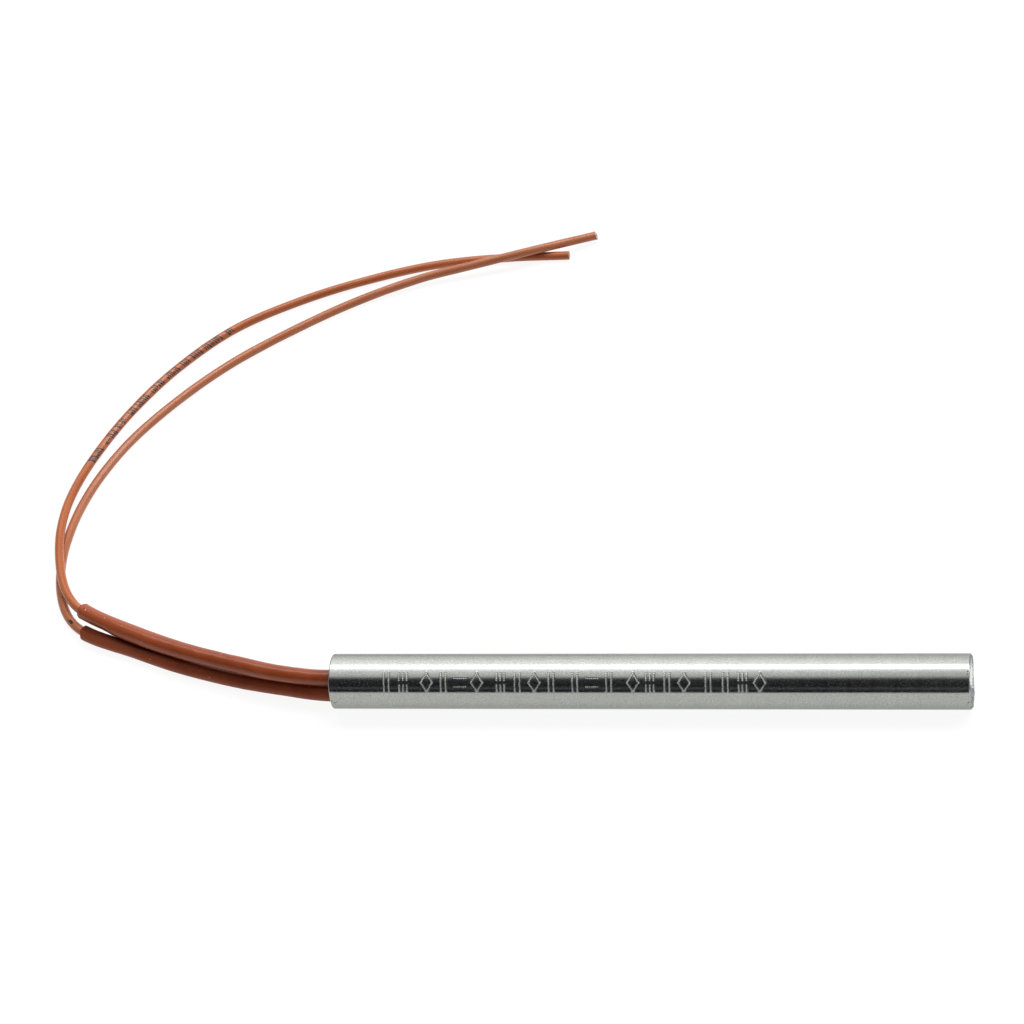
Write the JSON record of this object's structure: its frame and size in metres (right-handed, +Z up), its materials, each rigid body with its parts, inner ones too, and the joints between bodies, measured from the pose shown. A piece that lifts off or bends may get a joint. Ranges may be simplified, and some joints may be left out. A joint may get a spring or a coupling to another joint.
{
  "type": "cartridge heater",
  "caption": "Cylindrical cartridge heater: ground stainless sheath with a welded end disc, wound magnesia core inside, and sleeved flexible lead wires from its open end.",
  "frame": {"origin": "on the surface that the heater lies on, below the middle of the sheath's length", "axes": "+X along the sheath from the lead end towards the welded disc end, +Z up, and the leads curve away on the +Y side"},
  "size_m": [0.1778, 0.1317, 0.01],
  "materials": {
    "sheath_steel": "ground satin stainless",
    "weld_steel": "edge weld, slightly pitted",
    "ceramic": "unglazed",
    "magnesia": "pressed powder",
    "heating_alloy": "drawn wire",
    "nickel": "drawn nickel",
    "cement": "cast cement",
    "lead_insulation": "semi-gloss orange-brown",
    "lead_sleeving": "semi-gloss red-brown"
  },
  "bodies": {
    "root": {"sheath": "sheath_steel", "end_disc": "weld_steel", "base_insulator": "ceramic", "core_segment_1": "magnesia", "core_segment_2": "magnesia", "core_segment_3": "magnesia", "core_segment_4": "magnesia", "core_segment_5": "magnesia", "resistance_winding": "heating_alloy", "magnesia_fill": "magnesia", "terminal_insulator": "ceramic", "terminal_pin_long": "nickel", "terminal_pin_short": "nickel", "crimp_ferrule_1": "nickel", "crimp_ferrule_2": "nickel", "lead_end_seal": "cement", "lead_wire_1": "lead_insulation", "lead_wire_2": "lead_insulation", "lead_sleeve_1": "lead_sleeving", "lead_sleeve_2": "lead_sleeving"}
  },
  "joints": []
}
